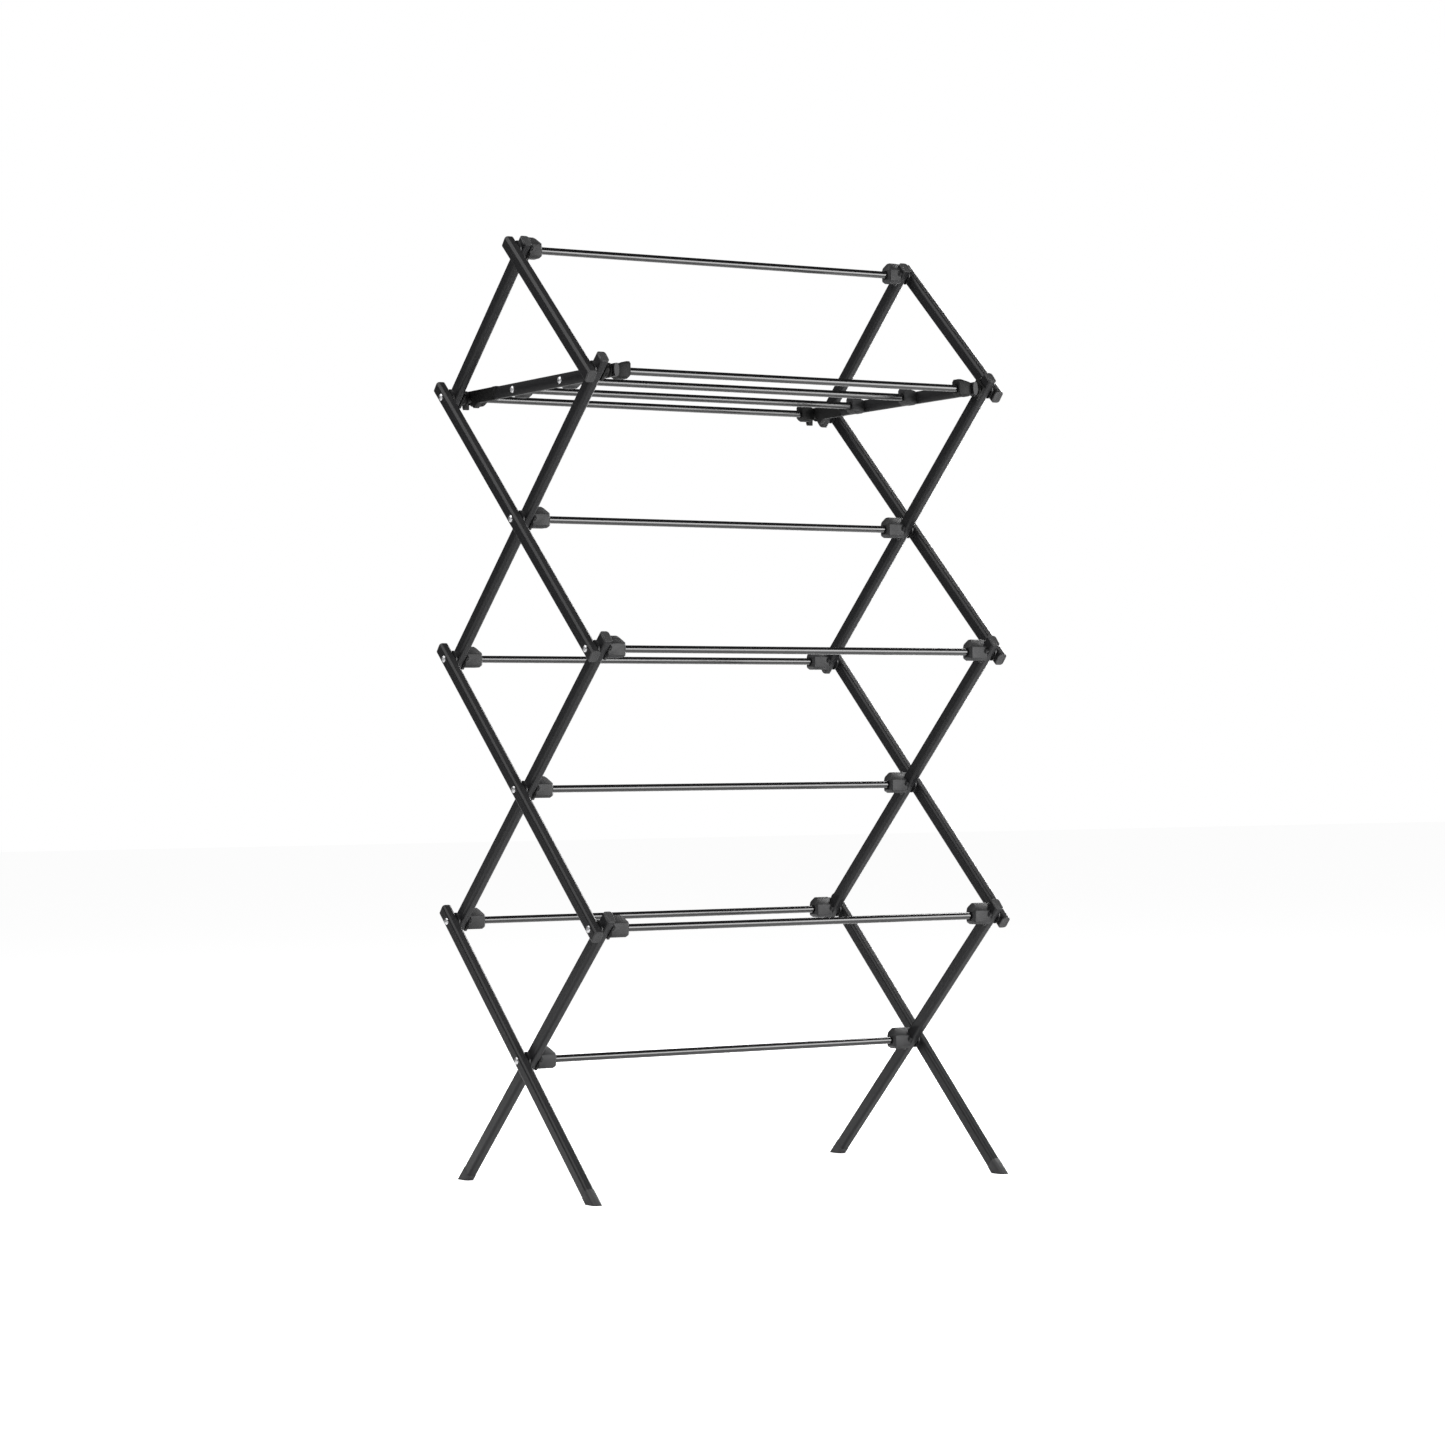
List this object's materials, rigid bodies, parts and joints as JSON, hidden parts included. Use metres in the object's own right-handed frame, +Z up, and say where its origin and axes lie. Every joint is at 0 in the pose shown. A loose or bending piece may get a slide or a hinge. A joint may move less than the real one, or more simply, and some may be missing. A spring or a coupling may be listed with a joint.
{
  "type": "clothes drying rack",
  "caption": "Free-standing folding clothes drying rack: scissor side frames joined by round hanging rods, with a hinged rod shelf under the top rod.",
  "frame": {"origin": "centre of the open rack's footprint, on the floor", "axes": "+Z up, -Y is the front, X runs along the rods"},
  "size_m": [0.7384, 0.4982, 1.4312],
  "materials": {
    "bar_coating": "satin",
    "rod_coating": "satin",
    "black_plastic": "matte",
    "bright_steel": "polished"
  },
  "bodies": {
    "outer_bars_1": {"outer_bar_1_left": "bar_coating", "outer_bar_1_right": "bar_coating", "outer_end_caps_1": "black_plastic"},
    "inner_bars_1": {"inner_bar_1_left": "bar_coating", "inner_bar_1_right": "bar_coating", "inner_end_caps_1": "black_plastic", "pivot_screws_1": "bright_steel", "pivot_washers_1": "black_plastic", "rod_top": "rod_coating", "connectors_top": "black_plastic", "rod_shelf_catch": "rod_coating", "shelf_catch_hubs": "black_plastic"},
    "outer_bars_2": {"outer_bar_2_left": "bar_coating", "outer_bar_2_right": "bar_coating", "outer_end_caps_2": "black_plastic"},
    "inner_bars_2": {"inner_bar_2_left": "bar_coating", "inner_bar_2_right": "bar_coating", "inner_end_caps_2": "black_plastic", "pivot_screws_2": "bright_steel", "pivot_washers_2": "black_plastic", "rod_cross_1": "rod_coating", "connectors_cross_1": "black_plastic", "rod_back_2": "rod_coating", "connectors_back_2": "black_plastic", "rod_shelf_hinge": "rod_coating", "shelf_hinge_hubs": "black_plastic"},
    "outer_bars_3": {"outer_bar_3_left": "bar_coating", "outer_bar_3_right": "bar_coating", "outer_end_caps_3": "black_plastic"},
    "inner_bars_3": {"inner_bar_3_left": "bar_coating", "inner_bar_3_right": "bar_coating", "inner_end_caps_3": "black_plastic", "pivot_screws_3": "bright_steel", "pivot_washers_3": "black_plastic", "rod_front_2": "rod_coating", "connectors_front_2": "black_plastic", "rod_cross_2": "rod_coating", "connectors_cross_2": "black_plastic", "rod_back_3": "rod_coating", "connectors_back_3": "black_plastic"},
    "outer_bars_4": {"outer_bar_4_left": "bar_coating", "outer_bar_4_right": "bar_coating", "outer_end_caps_4": "black_plastic"},
    "inner_bars_4": {"inner_bar_4_left": "bar_coating", "inner_bar_4_right": "bar_coating", "inner_end_caps_4": "black_plastic", "pivot_screws_4": "bright_steel", "pivot_washers_4": "black_plastic", "rod_front_3": "rod_coating", "connectors_front_3": "black_plastic", "rod_cross_3": "rod_coating", "connectors_cross_3": "black_plastic"},
    "shelf": {"shelf_bar_left": "bar_coating", "shelf_bar_right": "bar_coating", "shelf_hooks": "black_plastic", "shelf_rod_2": "rod_coating", "shelf_rod_3": "rod_coating", "shelf_connectors": "black_plastic", "shelf_screws": "bright_steel"}
  },
  "joints": [
    {"name": "fold", "type": "hinge", "parent": "inner_bars_4", "child": "outer_bars_4", "pos_m": [0, 0, 0.1965], "axis": [1, 0, 0], "range_deg": [0, 85.6]},
    {"name": "front_pivot_3", "type": "hinge", "parent": "inner_bars_4", "child": "outer_bars_3", "pos_m": [0, -0.223, 0.399], "axis": [1, 0, 0], "range_deg": [0, 85.6]},
    {"name": "crossing_2", "type": "hinge", "parent": "outer_bars_3", "child": "inner_bars_3", "pos_m": [0, 0, 0.6015], "axis": [1, 0, 0], "range_deg": [-85.6, 0]},
    {"name": "front_pivot_2", "type": "hinge", "parent": "inner_bars_3", "child": "outer_bars_2", "pos_m": [0, -0.223, 0.804], "axis": [1, 0, 0], "range_deg": [0, 85.6]},
    {"name": "crossing_1", "type": "hinge", "parent": "outer_bars_2", "child": "inner_bars_2", "pos_m": [0, 0, 1.0065], "axis": [1, 0, 0], "range_deg": [-85.6, 0]},
    {"name": "front_pivot_1", "type": "hinge", "parent": "inner_bars_2", "child": "outer_bars_1", "pos_m": [0, -0.223, 1.209], "axis": [1, 0, 0], "range_deg": [0, 85.6]},
    {"name": "top_pivot", "type": "hinge", "parent": "outer_bars_1", "child": "inner_bars_1", "pos_m": [0, 0, 1.4115], "axis": [1, 0, 0], "range_deg": [-85.6, 0]},
    {"name": "shelf_hinge", "type": "hinge", "parent": "inner_bars_2", "child": "shelf", "pos_m": [0, -0.223, 1.209], "axis": [1, 0, 0], "range_deg": [0, 118.14]}
  ],
  "couplings": [
    {"joint": "front_pivot_3", "follows": "fold", "ratio": 1},
    {"joint": "crossing_2", "follows": "fold", "ratio": -1},
    {"joint": "front_pivot_2", "follows": "fold", "ratio": 1},
    {"joint": "crossing_1", "follows": "fold", "ratio": -1},
    {"joint": "front_pivot_1", "follows": "fold", "ratio": 1},
    {"joint": "top_pivot", "follows": "fold", "ratio": -1},
    {"joint": "shelf_hinge", "follows": "fold", "ratio": 1.38}
  ]
}
